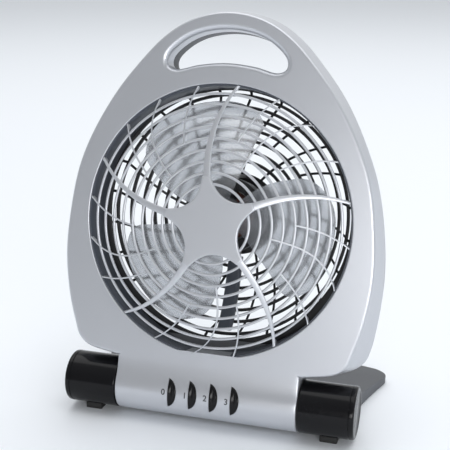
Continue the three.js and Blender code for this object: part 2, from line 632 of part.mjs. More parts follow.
for (const [side, name] of [[-1, 'left'], [1, 'right']]) {
  const mirror = (body) => (side < 0 ? body.rotate([0, 0, 180]) : body);
  const drum = standTurned([
    [PIN_R + CLEARANCE, DRUM_IN], [DRUM_R - 0.8, DRUM_IN], [DRUM_R, DRUM_IN + 0.8], [DRUM_R, DRUM_OUT],
    [DRUM_R - DRUM_WALL, DRUM_OUT], [DRUM_R - DRUM_WALL, DRUM_IN + DRUM_WALL],
    [PIN_R + CLEARANCE, DRUM_IN + DRUM_WALL],
  ], 32);
  const notch = box(122.3, DRUM_OUT + 1, -DRUM_R, DRUM_R, -DRUM_R - 1, -15.5);
  add(stand, `${name}_drum`, mirror(drum.subtract(notch)).subtract(standScrewHole(side)), black);
  const cap = new THREE.LatheGeometry([[0, DRUM_OUT + CLEARANCE], [DRUM_R, DRUM_OUT + CLEARANCE],
    [DRUM_R, CAP_OUT - 1.6], [DRUM_R - 0.5, CAP_OUT - 0.5], [DRUM_R - 1.6, CAP_OUT], [0, CAP_OUT],
  ].map(([r, y]) => new THREE.Vector2(r, y)), 32);
  add(stand, `${name}_drum_cap`, mirror(solid(cap).rotate([0, 0, -90])), black);
  const pinBody = disc(PIN_R, 74.5, 84, 12).add(disc(7, 83.7, 86, 12)).rotate([0, 0, -90]);
  add(stand, `${name}_pivot_pin`, mirror(pinBody), steel);
  const clip = ring(PIN_R + CLEARANCE, 7.5, 75.4, 77.2, 12).rotate([0, 0, -90]);
  add(stand, `${name}_pivot_clip`, mirror(clip), steel);
  const pad = box(98.5, 113.5, -10.5, 0.5, -AXIS_HEIGHT, -15).subtract(
    disc(DRUM_R + CLEARANCE, 90, 120, 32).rotate([0, 0, -90]));
  add(stand, `${name}_front_pad`, side < 0 ? pad.translate([-212, 0, 0]) : pad, rubber);
  const screw = disc(SCREW_R, 15, 28, 6).add(disc(3, 25.9, 28, 10));
  add(stand, `${name}_stand_screw`, moved(screw, side * STAND_SCREW_X, 0, STAND_SCREW_Z), steel);
}

// The rear plate in plan, from its front edge to the rounded rear corners, as [x, y] from the tilt axis.
const PLATE_SIDE = [[121, PLATE_FRONT], [122.8, 60], [126, 74], [131.8, 93.8], [137, 109]];

function plateShape(grow) {
  const shape = new THREE.Shape();
  const notch = 78 - grow;
  shape.moveTo(-notch, 30 - grow);
  shape.lineTo(notch, 30 - grow);
  shape.lineTo(notch, PLATE_FRONT - grow);
  const side = PLATE_SIDE.map(([x, y]) => new THREE.Vector2(x + grow, y));
  side[0].y -= grow;
  shape.lineTo(side[0].x, side[0].y);
  shape.splineThru(side.slice(1));
  shape.quadraticCurveTo(140 + grow, 121 + grow, 126, 129 + grow);
  shape.quadraticCurveTo(80, PLATE_REAR + grow, 0, PLATE_REAR + grow);
  shape.quadraticCurveTo(-80, PLATE_REAR + grow, -126, 129 + grow);
  shape.quadraticCurveTo(-140 - grow, 121 + grow, -137 - grow, 109);
  const left = side.map((point) => new THREE.Vector2(-point.x, point.y)).reverse();
  shape.splineThru(left.slice(1));
  shape.lineTo(-notch, PLATE_FRONT - grow);
  return shape;
}

// The side view of the plate, in (y, z) from the tilt axis.
function plateProfile(drop) {
  const floor = -AXIS_HEIGHT + PLATE_LIFT;
  const shape = new THREE.Shape();
  shape.moveTo(PLATE_FRONT - 5, floor - (drop ? 5 : 0));
  shape.lineTo(PLATE_FRONT - 5, -2 - drop);
  shape.lineTo(PLATE_FRONT + 2, -2 - drop);
  shape.bezierCurveTo(40, -6 - drop, 52, -11 - drop, 64, -12.8 - drop);
  shape.bezierCurveTo(90, -16 - drop, 115, -19 - drop, PLATE_REAR + 2, -20 - drop);
  shape.lineTo(PLATE_REAR + 2, floor - (drop ? 5 : 0));
  return shape;
}

function makePlate() {
  const plan = (grow) => {
    const drawn = { depth: 40, bevelEnabled: false, curveSegments: 4 };
    return solid(new THREE.ExtrudeGeometry(plateShape(grow), drawn).translate(0, 0, -35));
  };
  const outer = plan(0).intersect(along(plateProfile(0), -150, 150, 6));
  const inner = plan(-PLATE_WALL).intersect(along(plateProfile(PLATE_WALL), -150, 150, 6));
  let body = outer.subtract(inner);
  for (const side of [-1, 1]) {
    const boss = solid(new THREE.CylinderGeometry(7, 7, 6, 16).rotateX(Math.PI / 2));
    body = body.add(boss.translate([side * 118, 112, -20.6]).intersect(outer));
    body = body.subtract(standScrewHole(side));
  }
  return body;
}
add(stand, 'stand_plate', makePlate(), graphite);
for (const [side, name] of [[-1, 'left'], [1, 'right']]) {
  const pad = solid(new THREE.CylinderGeometry(6.5, 6.5, 1.6, 16).rotateX(Math.PI / 2));
  add(stand, `${name}_rear_pad`, pad.translate([side * 118, 112, -AXIS_HEIGHT + 0.8]), rubber);
}

export default fan;
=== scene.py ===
import math

import bmesh
import bpy
import numpy as np
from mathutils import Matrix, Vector


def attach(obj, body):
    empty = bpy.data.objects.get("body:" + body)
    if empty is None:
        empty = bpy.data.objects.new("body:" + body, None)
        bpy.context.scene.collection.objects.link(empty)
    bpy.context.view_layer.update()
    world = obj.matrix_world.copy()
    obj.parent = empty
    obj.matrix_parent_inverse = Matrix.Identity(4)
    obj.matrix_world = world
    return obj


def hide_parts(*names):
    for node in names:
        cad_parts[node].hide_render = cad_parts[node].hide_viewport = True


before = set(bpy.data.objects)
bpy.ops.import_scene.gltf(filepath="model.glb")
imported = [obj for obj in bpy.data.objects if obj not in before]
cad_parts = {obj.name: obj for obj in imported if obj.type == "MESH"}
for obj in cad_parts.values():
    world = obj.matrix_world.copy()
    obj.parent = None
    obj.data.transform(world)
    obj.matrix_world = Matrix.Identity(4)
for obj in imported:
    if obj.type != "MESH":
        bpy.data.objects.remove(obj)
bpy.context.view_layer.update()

# ------------------------------------------------------------------ frames (mm in, metres out)
LEAN = math.radians(13.3)
COS, SIN = math.cos(LEAN), math.sin(LEAN)
AXIS_Y, AXIS_Z = -59.7, 25.5
DRUM_Y, DRUM_Z, DRUM_R = 17.7, -149.7, 22.33
FAN_Z = 4.0
MERGE, SLIVER = 2e-6, 1e-7


def housing(p):
    """A point of the housing frame (origin in the middle of the opening, on the face) in the row frame."""
    x, y, z = p
    y, z = y - DRUM_Y, z - DRUM_Z
    return (x / 1000, (AXIS_Y + y * COS + z * SIN) / 1000, (AXIS_Z - y * SIN + z * COS) / 1000)


def fan_axis(p):
    return housing((p[0], p[1], p[2] + FAN_Z))


def stand(p):
    return (p[0] / 1000, (p[1] + AXIS_Y) / 1000, (p[2] + AXIS_Z) / 1000)


# ------------------------------------------------------------------ mesh helpers
def linked(name, data):
    obj = bpy.data.objects.new(name, data)
    bpy.context.scene.collection.objects.link(obj)
    return obj


def build(name, verts, faces, place=housing, angle=32):
    """An object from mm points and faces. Edges sharper than angle stay crisp."""
    mesh = bpy.data.meshes.new(name)
    mesh.from_pydata([place(v) for v in verts], [], faces)
    obj = linked(name, mesh)
    tidy(obj, angle)
    return obj


def tidy(obj, angle=32):
    """Merges doubled vertices (metres), faces the surface outwards and marks the crisp edges."""
    bm = bmesh.new()
    bm.from_mesh(obj.data)
    bmesh.ops.remove_doubles(bm, verts=bm.verts, dist=MERGE)
    bmesh.ops.dissolve_degenerate(bm, edges=bm.edges, dist=SLIVER)
    bmesh.ops.recalc_face_normals(bm, faces=bm.faces)
    limit = math.radians(angle)
    for f in bm.faces:
        f.smooth = True
    for e in bm.edges:
        e.smooth = len(e.link_faces) != 2 or e.calc_face_angle(0) < limit
    bm.to_mesh(obj.data)
    bm.free()
    obj.data.update()


def join(name, objs, angle=32):
    bm = bmesh.new()
    for o in objs:
        bm.from_mesh(o.data)
    mesh = bpy.data.meshes.new(name)
    bm.to_mesh(mesh)
    bm.free()
    for o in objs:
        bpy.data.objects.remove(o)
    obj = linked(name, mesh)
    tidy(obj, angle)
    return obj


def applied(obj):
    """Bakes an object's modifiers into its mesh."""
    bpy.context.view_layer.update()
    graph = bpy.context.evaluated_depsgraph_get()
    mesh = bpy.data.meshes.new_from_object(obj.evaluated_get(graph))
    obj.modifiers.clear()
    obj.data = mesh
    return obj


def cut(obj, cutter, operation="DIFFERENCE"):
    mod = obj.modifiers.new("cut", "BOOLEAN")
    mod.operation = operation
    mod.solver = "EXACT"
    mod.object = cutter
    applied(obj)
    bpy.data.objects.remove(cutter)
    return obj


def bevelled(obj, width, segments=3, angle=40):
    mod = obj.modifiers.new("bevel", "BEVEL")
    mod.width = width / 1000
    mod.segments = segments
    mod.limit_method = "ANGLE"
    mod.angle_limit = math.radians(angle)
    mod.use_clamp_overlap = True
    return applied(obj)


def skin(loops, closed=True, cap=(False, False)):
    """Vertices and faces over a row of matching loops."""
    n = len(loops[0])
    verts = [p for loop in loops for p in loop]
    faces = []
    last = n if closed else n - 1
    for row in range(len(loops) - 1):
        for i in range(last):
            j = (i + 1) % n
            faces.append((row * n + i, row * n + j, (row + 1) * n + j, (row + 1) * n + i))
    if cap[0]:
        faces.append(tuple(range(n)))
    if cap[1]:
        faces.append(tuple(range((len(loops) - 1) * n, len(loops) * n)))
    return verts, faces


def merged(*parts):
    verts, faces = [], []
    for v, f in parts:
        base = len(verts)
        verts += v
        faces += [tuple(i + base for i in face) for face in f]
    return verts, faces


def lathe(profile, segments=96, closed=True, z=0.0, x=0.0):
    """A profile of (radius, y) points turned round the Y axis of its frame."""
    loops = []
    for k in range(segments):
        a = 2 * math.pi * k / segments
        loops.append([(x + r * math.cos(a), y, z + r * math.sin(a)) for r, y in profile])
    loops.append(loops[0])
    return skin(loops, closed=closed)


def rounded_rect(x0, x1, y0, y1, r, steps=4):
    """Closed (x, y) points of a rectangle with rounded corners."""
    out = []
    corners = ((x1 - r, y1 - r, 0), (x0 + r, y1 - r, 90), (x0 + r, y0 + r, 180), (x1 - r, y0 + r, 270))
    for cx, cy, start in corners:
        for k in range(steps + 1):
            a = math.radians(start + 90 * k / steps)
            out.append((cx + r * math.cos(a), cy + r * math.sin(a)))
    return out


def planar(name, loops, y, place=housing):
    """A flat face at depth y between an outer loop and its holes, all as (x, z)."""
    bm = bmesh.new()
    edges = []
    for loop in loops:
        vs = [bm.verts.new(place((p[0], y, p[1]))) for p in loop]
        edges += [bm.edges.new((vs[i], vs[(i + 1) % len(vs)])) for i in range(len(vs))]
    bmesh.ops.triangle_fill(bm, use_beauty=True, use_dissolve=False, edges=edges)
    mesh = bpy.data.meshes.new(name)
    bm.to_mesh(mesh)
    bm.free()
    return linked(name, mesh)


# ------------------------------------------------------------------ curves
def catmull(points, steps, closed=False):
    """Centripetal Catmull-Rom through 2-D points, as dense points."""
    pts = [np.array(p, float) for p in points]
    n = len(pts)
    spans = n if closed else n - 1
    out = []
    for i in range(spans):
        p1, p2 = pts[i], pts[(i + 1) % n]
        p0 = pts[i - 1] if closed or i > 0 else 2 * p1 - p2
        p3 = pts[(i + 2) % n] if closed or i + 2 < n else 2 * p2 - p1
        t0 = 0.0
        t1 = t0 + max(np.linalg.norm(p1 - p0), 1e-6) ** 0.5
        t2 = t1 + max(np.linalg.norm(p2 - p1), 1e-6) ** 0.5
        t3 = t2 + max(np.linalg.norm(p3 - p2), 1e-6) ** 0.5
        for k in range(steps):
            t = t1 + (t2 - t1) * k / steps
            a1 = (t1 - t) / (t1 - t0) * p0 + (t - t0) / (t1 - t0) * p1
            a2 = (t2 - t) / (t2 - t1) * p1 + (t - t1) / (t2 - t1) * p2
            a3 = (t3 - t) / (t3 - t2) * p2 + (t - t2) / (t3 - t2) * p3
            b1 = (t2 - t) / (t2 - t0) * a1 + (t - t0) / (t2 - t0) * a2
            b2 = (t3 - t) / (t3 - t1) * a2 + (t - t1) / (t3 - t1) * a3
            out.append(tuple((t2 - t) / (t2 - t1) * b1 + (t - t1) / (t2 - t1) * b2))
    if not closed:
        out.append(tuple(pts[-1]))
    return out


def inset(loop, distance):
    """Moves a closed 2-D loop outwards, or inwards where distance is negative."""
    n = len(loop)
    area = sum(loop[i][0] * loop[(i + 1) % n][1] - loop[(i + 1) % n][0] * loop[i][1] for i in range(n))
    side = 1 if area > 0 else -1
    out = []
    for i in range(n):
        (bx, bz), (cx, cz), (ax, az) = loop[i - 1], loop[i], loop[(i + 1) % n]
        u = Vector((cx - bx, cz - bz)).normalized()
        w = Vector((ax - cx, az - cz)).normalized()
        m = Vector(((u.y + w.y), -(u.x + w.x)))
        if m.length < 1e-6:
            m = Vector((u.y, -u.x))
        m.normalize()
        reach = distance / max(m.dot(Vector((u.y, -u.x))), 0.5)
        out.append((cx + side * m.x * reach, cz + side * m.y * reach))
    return out


# Right halves of the housing's front and rear outlines and of the handle slot, from the top down.
FRONT_HALF = [(0, 174), (29.4, 168.5), (54, 154), (79.5, 127), (98.3, 101.4), (116.5, 68), (127.3, 38),
              (133.6, -3), (134.9, -38), (130, -73.6), (122.8, -98.5), (118.6, -109.5), (110, -116.8),
              (83, -122.5)]
REAR_HALF = [(0, 177.8), (30.8, 172.3), (56.4, 157), (82.3, 129.3), (101.4, 103), (118.9, 69), (130.4, 38.5),
             (138.5, -2.5), (140.9, -38), (138.1, -74.5), (134, -98), (129.5, -108.5), (117, -117.5),
             (83, -122.5)]
SLOT_HALF = [(0, 159.7), (26, 155.4), (42, 146.4), (51, 136), (50.6, 128.8), (44, 125.6), (24, 130),
             (0, 132.3)]
CREST_TRIM = 0.07


def outline(half):
    """A whole outline with a straight foot, its crest levelled to stay under the CAD's facets."""
    left = [(-x, z) for x, z in reversed(half)]
    crest = half[0][1] - CREST_TRIM
    open_curve = [(x, min(z, crest)) for x, z in catmull(left[:-1] + list(half), 10)]
    (x1, z1), (x0, z0) = open_curve[-1], open_curve[0]
    floor = [(x1 + (x0 - x1) * k / 12, z1 + (z0 - z1) * k / 12) for k in range(1, 12)]
    return open_curve + floor


front_edge = outline(FRONT_HALF)
rear_edge = outline(REAR_HALF)
slot_edge = catmull(list(SLOT_HALF) + [(-x, z) for x, z in reversed(SLOT_HALF[1:-1])], 10, closed=True)


def circle(r, n=160, z=0.0):
    return [(r * math.cos(2 * math.pi * k / n), z + r * math.sin(2 * math.pi * k / n)) for k in range(n)]


def at(loop, y):
    return [(x, y, z) for x, z in loop]


def arc_steps(n):
    """Angles of a quarter turn."""
    return [math.pi / 2 * k / n for k in range(n + 1)]


# ------------------------------------------------------------------ materials
def material(name, base, roughness, metallic=0.0, grain=900.0, bump=0.00002, spread=0.04, rough_spread=0.08,
             cloud=14.0, **sockets):
    """Moulded or painted surface: soft colour clouding, uneven gloss and a fine grain."""
    mat = bpy.data.materials.new(name)
    mat.use_nodes = True
    nodes, links = mat.node_tree.nodes, mat.node_tree.links
    shader = nodes["Principled BSDF"]
    place = nodes.new("ShaderNodeTexCoord")
    clouds = nodes.new("ShaderNodeTexNoise")
    clouds.inputs["Scale"].default_value = cloud
    clouds.inputs["Detail"].default_value = 4
    links.new(place.outputs["Object"], clouds.inputs["Vector"])
    ramp = nodes.new("ShaderNodeValToRGB")
    dark = [c * (1 - spread) for c in base]
    light = [min(1, c * (1 + spread)) for c in base]
    ramp.color_ramp.elements[0].position = 0.3
    ramp.color_ramp.elements[1].position = 0.7
    ramp.color_ramp.elements[0].color = (*dark, 1)
    ramp.color_ramp.elements[1].color = (*light, 1)
    links.new(clouds.outputs["Fac"], ramp.inputs["Fac"])
    links.new(ramp.outputs["Color"], shader.inputs["Base Color"])
    fine = nodes.new("ShaderNodeTexNoise")
    fine.inputs["Scale"].default_value = grain
    fine.inputs["Detail"].default_value = 3
    links.new(place.outputs["Object"], fine.inputs["Vector"])
    gloss = nodes.new("ShaderNodeMapRange")
    gloss.inputs["From Min"].default_value = 0.3
    gloss.inputs["From Max"].default_value = 0.7
    gloss.inputs["To Min"].default_value = max(0.02, roughness - rough_spread / 2)
    gloss.inputs["To Max"].default_value = min(1, roughness + rough_spread / 2)
    links.new(fine.outputs["Fac"], gloss.inputs["Value"])
    links.new(gloss.outputs["Result"], shader.inputs["Roughness"])
    dent = nodes.new("ShaderNodeBump")
    dent.inputs["Strength"].default_value = 0.6
    dent.inputs["Distance"].default_value = bump
    links.new(fine.outputs["Fac"], dent.inputs["Height"])
    links.new(dent.outputs["Normal"], shader.inputs["Normal"])
    shader.inputs["Metallic"].default_value = metallic
    for key, value in sockets.items():
        shader.inputs[key.replace("_", " ")].default_value = value
    return mat


silver = material("silver_paint", (0.55, 0.565, 0.60), 0.34, 0.65, grain=2600, bump=0.000012, spread=0.018,
                  rough_spread=0.06, cloud=9)
silver_grille = material("silver_grille_paint", (0.57, 0.585, 0.62), 0.34, 0.6, grain=2400, bump=0.00001,
                         spread=0.02, rough_spread=0.06)
graphite = material("graphite_plastic", (0.085, 0.09, 0.10), 0.5, grain=1500, bump=0.00005, spread=0.06)
duct_grey = material("duct_plastic", (0.075, 0.085, 0.105), 0.38, grain=1300, bump=0.00003, spread=0.06)
cover_grey = material("motor_cover_grey", (0.05, 0.06, 0.075), 0.35, 0.2, grain=1300, bump=0.00002,
                      spread=0.06)
gloss_black = material("black_gloss_plastic", (0.005, 0.005, 0.006), 0.16, 0.0, grain=300, bump=0.00001,
                       spread=0.15, rough_spread=0.08, Specular_IOR_Level=0.22)
matt_black = material("black_plastic", (0.008, 0.008, 0.010), 0.42, grain=1400, bump=0.00003, spread=0.15)
smoke = material("smoke_plastic", (0.64, 0.66, 0.69), 0.2, 0.0, grain=30, bump=0.00001, spread=0.1,
                 cloud=30, Transmission_Weight=0.8, IOR=1.45)
rubber = material("black_rubber", (0.018, 0.018, 0.018), 0.75, 0.0, grain=1800, bump=0.00008, spread=0.15)
zinc = material("zinc_steel", (0.55, 0.56, 0.57), 0.3, 1.0, grain=1500, bump=0.00002, spread=0.06)
lamination = material("lamination_steel", (0.26, 0.27, 0.28), 0.45, 0.9, grain=1500, bump=0.00003,
                      spread=0.12)
copper = material("varnished_copper", (0.13, 0.04, 0.028), 0.35, 0.3, grain=800, bump=0.00003, spread=0.2,
                  Coat_Weight=0.5, Coat_Roughness=0.2)
ink = material("grey_ink", (0.035, 0.035, 0.04), 0.5, 0.0, grain=1200, bump=0.000005, spread=0.1)


def dress(obj, mat, body, slot_name, *nodes):
    """Gives a piece its material and body, and hides the CAD nodes it replaces. slot_name is not used."""
    obj.data.materials.clear()
    obj.data.materials.append(mat)
    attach(obj, body)
    if nodes:
        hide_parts(*nodes)
    return obj


# ------------------------------------------------------------------ front shell
FACE_WALL, EDGE_ROUND, FRONT_DEPTH = 2.8, 2.4, 25.0
FACE_INSET = -EDGE_ROUND - 0.8
OPENING_R, OPENING_ROUND, OPENING_LIP_R = 115.0, 0.75, 116.2
SLOT_DEPTH, SLOT_WIDTH, SLOT_WALL = 4.6, 4.4, 2.4
SLOT_FACE = SLOT_WIDTH + 0.7


def front_shell():
    loops = [at(inset(front_edge, FACE_INSET), 0)]
    for a in arc_steps(8):
        loops.append(at(inset(front_edge, -EDGE_ROUND * (1 - math.sin(a))), EDGE_ROUND * (1 - math.cos(a))))
    for k in range(1, 7):
        t = k / 6
        y = EDGE_ROUND + (FRONT_DEPTH - 0.6 - EDGE_ROUND) * t
        loops.append([(f[0] + (r[0] - f[0]) * t, y, f[1] + (r[1] - f[1]) * t)
                      for f, r in zip(front_edge, rear_edge)])
    loops.append(at(inset(rear_edge, -0.2), FRONT_DEPTH - 0.15))
    loops.append(at(inset(rear_edge, -0.7), FRONT_DEPTH))
    loops.append(at(inset(rear_edge, -2.4), FRONT_DEPTH))
    loops.append(at(inset(front_edge, -2.9), FACE_WALL))
    outside = build("a", *skin(loops))
    rim = [(OPENING_LIP_R, 0), (OPENING_R + OPENING_ROUND, 0)]
    rim += [(OPENING_R + OPENING_ROUND * (1 - math.sin(a)), OPENING_ROUND * (1 - math.cos(a)))
            for a in arc_steps(4)]
    rim += [(OPENING_R, FACE_WALL)]
    opening = build("b", *lathe(rim, 160, closed=False))
    fillet = [at(inset(slot_edge, SLOT_FACE), 0)]
    for a in arc_steps(9):
        fillet.append(at(inset(slot_edge, SLOT_WIDTH * (1 - math.sin(a))), SLOT_DEPTH * (1 - math.cos(a))))
    fillet += [at(slot_edge, 10), at(slot_edge, 16.6), at(inset(slot_edge, 0.5), 17),
               at(inset(slot_edge, SLOT_WALL), 17), at(inset(slot_edge, SLOT_WALL), FACE_WALL)]
    slot = build("c", *skin(fillet))
    face = planar("d", [inset(front_edge, FACE_INSET), circle(OPENING_LIP_R), inset(slot_edge, SLOT_FACE)], 0)
    inner = planar("e", [inset(front_edge, -2.9), circle(OPENING_R), inset(slot_edge, SLOT_WALL)], FACE_WALL)
    return join("front_shell", [outside, opening, slot, face, inner], 40)


dress(front_shell(), silver, "housing", "silver_plastic", "front_housing")


# ------------------------------------------------------------------ middle drum, front half
MID_HALF, MID_ROUND, MID_WALL = 80.2, 1.3, 2.6
PANEL_FOOT = -122.2
PIN_BORE_R = 4.4
MID_BLEND_DEG, MID_SEAM_DEG = 158, 269.4
KEY_Z, KEY_WIDTH, KEY_HALF = -149.1, 7.2, 12.0
KEYS = [-31.3 + 18.5 * i for i in range(4)]


def front_mid_profile(grow=0.0):
    """(y, z) points of the front half of the middle drum, from the panel down to the seam."""
    r = DRUM_R + grow
    blend = math.radians(MID_BLEND_DEG)
    ty, tz = DRUM_Y + r * math.cos(blend), DRUM_Z + r * math.sin(blend)
    face = -grow
    cz = tz + (face - ty) * -math.cos(blend) / math.sin(blend)
    pts = [(17.5, -112 + grow), (face, -112 + grow), (face, -117)]
    for k in range(0, 13):
        t = k / 12
        pts.append(((1 - t) ** 2 * face + 2 * t * (1 - t) * face + t * t * ty,
                    (1 - t) ** 2 * -122 + 2 * t * (1 - t) * cz + t * t * tz))
    for k in range(1, 33):
        a = math.radians(MID_BLEND_DEG + (MID_SEAM_DEG - MID_BLEND_DEG) * k / 32)
        pts.append((DRUM_Y + r * math.cos(a), DRUM_Z + r * math.sin(a)))
    pts.append((17.5, DRUM_Z - 10))
    return pts


def key_outline(x, grow, steps=20):
    """A D with its straight side at x, widened by grow (by half of it on the curved side)."""
    half = KEY_HALF + grow
    x0, bulge = x - grow, x + KEY_WIDTH * 1.33 + grow
    pts = []
    for k in range(steps + 1):
        t = k / steps
        b = ((1 - t) ** 3, 3 * t * (1 - t) ** 2, 3 * t * t * (1 - t), t ** 3)
        pts.append((b[0] * x0 + b[1] * bulge + b[2] * bulge + b[3] * x0,
                    KEY_Z + half * (-b[0] - 0.75 * b[1] + 0.75 * b[2] + b[3])))
    for k in range(1, 10):
        pts.append((x0, KEY_Z + half * (1 - 2 * k / 10)))
    return pts


def pin_bore():
    """A cutter along the tilt axis, clear of the pivot pins."""
    around = [2 * math.pi * k / 40 for k in range(40)]
    loops = [[(x, DRUM_Y + PIN_BORE_R * math.cos(a), DRUM_Z + PIN_BORE_R * math.sin(a)) for a in around]
             for x in (-MID_HALF - 1, MID_HALF + 1)]
    return build("pin_bore", *skin(loops, cap=(True, True)))


def below_panel(z):
    """Presses what rises over the panel's foot almost down to it, so that the rounded ends start there."""
    return z if z < PANEL_FOOT else PANEL_FOOT + 0.02 * (z - PANEL_FOOT)


def front_middle():
    loops = []
    base = front_mid_profile(0.03)
    for a in arc_steps(6):
        loops.append([(MID_HALF - MID_ROUND + MID_ROUND * math.cos(a), y, below_panel(z))
                      for y, z in inset(base, -MID_ROUND * (1 - math.sin(a)))])
    right = loops + [[(MID_HALF - 4.5, y, z) for y, z in base]]
    left = [[(-x, y, z) for x, y, z in loop] for loop in reversed(right)]
    body = build("front_middle", *skin(right + left, cap=(True, True)), angle=38)
    hollow = [(30.0, -118.0), (MID_WALL, -118.0)]
    hollow += [p for p in front_mid_profile(-MID_WALL) if p[1] < -118.5 and p[0] < 17.4]
    hollow.append((30.0, -169.4))
    inner = [[(x, y, z) for y, z in hollow] for x in (-MID_HALF + MID_WALL, MID_HALF - MID_WALL)]
    cut(body, build("hollow", *skin(inner, cap=(True, True))))
    for x in KEYS:
        ring = key_outline(x, 0.4)
        cut(body, build("keyhole", *skin([at(ring, -12), at(ring, 6)], cap=(True, True))))
    cut(body, pin_bore())
    tidy(body, 38)
    return body


dress(front_middle(), silver, "housing", "silver_plastic")

# ------------------------------------------------------------------ keys, springs and digits
STEM_HALF, STEM_HALF_HEIGHT, CAP_BACK = 1.9, 4, 1.0
COIL_R, COIL_TURNS, COIL_START, COIL_LENGTH, COIL_WIRE_R = 5.3, 2.6, 4.45, 1.0, 0.22
QUARTERS = ((-1, -1), (1, -1), (1, 1), (-1, 1))


def on_drum(x, z, proud):
    """The point over (x, z) that stands proud of the middle drum's front."""
    r = DRUM_R + proud
    return (x, DRUM_Y - math.sqrt(max(r * r - (z - DRUM_Z) ** 2, 0.01)), z)


def key(i):
    x = KEYS[i]
    # (height over the drum, growth of the outline), from the skirt over the rounded edge to the dished top
    levels = [(-0.2, 0.0), (0.45, 0.0), (0.9, -0.18), (1.15, -0.5), (1.2, -0.9), (1.12, -1.5),
              (0.75, -2.1), (0.55, -2.6)]
    loops = [[(px, CAP_BACK, pz) for px, pz in key_outline(x, 0)]]
    for proud, grow in levels:
        ring = key_outline(x, grow) if grow > -0.3 else inset(key_outline(x, 0), grow)
        loops.append([on_drum(px, pz, proud) for px, pz in ring])
    cap = build("k", *skin(loops, cap=(True, True)), angle=50)
    mid = x + KEY_WIDTH / 2
    stem = build("s", *skin([[(mid + sx * STEM_HALF, y, KEY_Z + sz * STEM_HALF_HEIGHT) for sx, sz in QUARTERS]
                             for y in (-2, 14)], cap=(True, True)))
    bevelled(stem, 0.5)
    return join(f"key_cap_{i}", [cap, stem], 50)


def spring(i):
    mid = KEYS[i] + KEY_WIDTH / 2
    curve = bpy.data.curves.new(f"key_coil_{i}", "CURVE")
    curve.dimensions = "3D"
    curve.bevel_depth = COIL_WIRE_R / 1000
    curve.bevel_resolution = 3
    line = curve.splines.new("POLY")
    steps = 72
    line.points.add(steps)
    for k in range(steps + 1):
        a = 2 * math.pi * COIL_TURNS * k / steps
        point = (mid + COIL_R * math.cos(a), COIL_START + COIL_LENGTH * k / steps,
                 KEY_Z + COIL_R * math.sin(a))
        line.points[k].co = (*housing(point), 1)
    return linked(f"key_coil_{i}", curve)


for i in range(4):
    dress(key(i), gloss_black, f"key_{i}", "black_gloss_plastic", f"key_{i}")
    dress(spring(i), zinc, "housing", "steel", f"key_spring_{i}")


DIGIT_HEIGHT, DIGIT_BOLD, DIGIT_PROUD, DIGIT_EDGE = 5.2, 0.13, 0.1, 0.7


def digit(text, x, z):
    """A printed digit, cut up finely enough to follow the drum."""
    curve = bpy.data.curves.new(f"digit_{text}", "FONT")
    curve.body = text
    curve.size = DIGIT_HEIGHT * 1.38
    curve.align_x = "CENTER"
    curve.resolution_u = 6
    curve.offset = DIGIT_BOLD
    obj = linked(f"digit_{text}", curve)
    bpy.context.view_layer.update()
    mesh = bpy.data.meshes.new_from_object(obj.evaluated_get(bpy.context.evaluated_depsgraph_get()))
    bpy.data.objects.remove(obj)
    bm = bmesh.new()
    bm.from_mesh(mesh)
    bmesh.ops.triangulate(bm, faces=bm.faces[:])
    for _ in range(3):
        bmesh.ops.subdivide_edges(bm, edges=[e for e in bm.edges if e.calc_length() > DIGIT_EDGE], cuts=1)
        bmesh.ops.triangulate(bm, faces=bm.faces[:])
    low = min(v.co.y for v in bm.verts)
    high = max(v.co.y for v in bm.verts)
    for v in bm.verts:
        v.co = housing(on_drum(x + v.co.x, z + v.co.y - (low + high) / 2, DIGIT_PROUD))
    bm.to_mesh(mesh)
    bm.free()
    return linked(f"digit_{text}", mesh)


for text, x, z in (("0", -35.6, -148.5), ("1", -16.1, -149.2), ("2", 1.8, -149.2), ("3", 20.5, -149.7)):
    dress(digit(text, x, z), ink, "housing", "graphite_plastic")

# ------------------------------------------------------------------ rear shell
BACK_WALL, BACK_Y, DUCT_R, DUCT_WALL = 30.6, 33.0, 113.5, 2.3
BACK_SEAM, BACK_ROUND, SLOT_ROUND = 25.4, 8.1, 3.4


def rear_shell():
    """The dark rear shell, and the duct round the blades as a piece of its own."""
    loops = [at(inset(rear_edge, -3.2), BACK_SEAM), at(inset(rear_edge, -1.3), BACK_SEAM),
             at(inset(rear_edge, -0.9), 25.8)]
    for a in arc_steps(9):
        loops.append(at(inset(rear_edge, -0.9 - BACK_ROUND * (1 - math.cos(a))),
                        26.5 + (BACK_Y - 26.5) * math.sin(a)))
    loops.append(at(inset(rear_edge, -9.8), BACK_Y))
    outside = build("a", *skin(loops))
    duct = [(DUCT_R + 2.6, BACK_Y), (DUCT_R + 0.8, BACK_Y)]
    duct += [(DUCT_R + 0.8 * (1 - math.sin(a)), BACK_Y - 0.8 * (1 - math.cos(a))) for a in arc_steps(3)]
    duct += [(DUCT_R, 12), (DUCT_R + 0.2, 1.5), (DUCT_R + 0.5, 1.1), (DUCT_R + 1.2, 1.1),
             (DUCT_R + 1.25, 3.2), (DUCT_R + 1.4, 6), (DUCT_R + DUCT_WALL, 6.4),
             (DUCT_R + DUCT_WALL, BACK_WALL)]
    tube = build("b", *lathe(duct, 160, closed=False))
    rim = [at(inset(slot_edge, 2.4), 17.4), at(slot_edge, 17.4), at(slot_edge, 24)]
    for a in arc_steps(7):
        rim.append(at(inset(slot_edge, SLOT_ROUND * (1 - math.cos(a))),
                      BACK_Y - SLOT_ROUND * (1 - math.sin(a))))
    rim.append(at(inset(slot_edge, 4.0), BACK_Y))
    slot = build("c", *skin(rim))
    back = planar("d", [inset(rear_edge, -9.8), circle(DUCT_R + 2.6), inset(slot_edge, 4.0)], BACK_Y)
    return join("rear_shell", [outside, slot, back], 40), join("air_duct", [tube], 40)


shell, air_duct = rear_shell()
dress(shell, graphite, "housing", "graphite_plastic", "rear_housing")
dress(air_duct, duct_grey, "housing", "graphite_plastic")


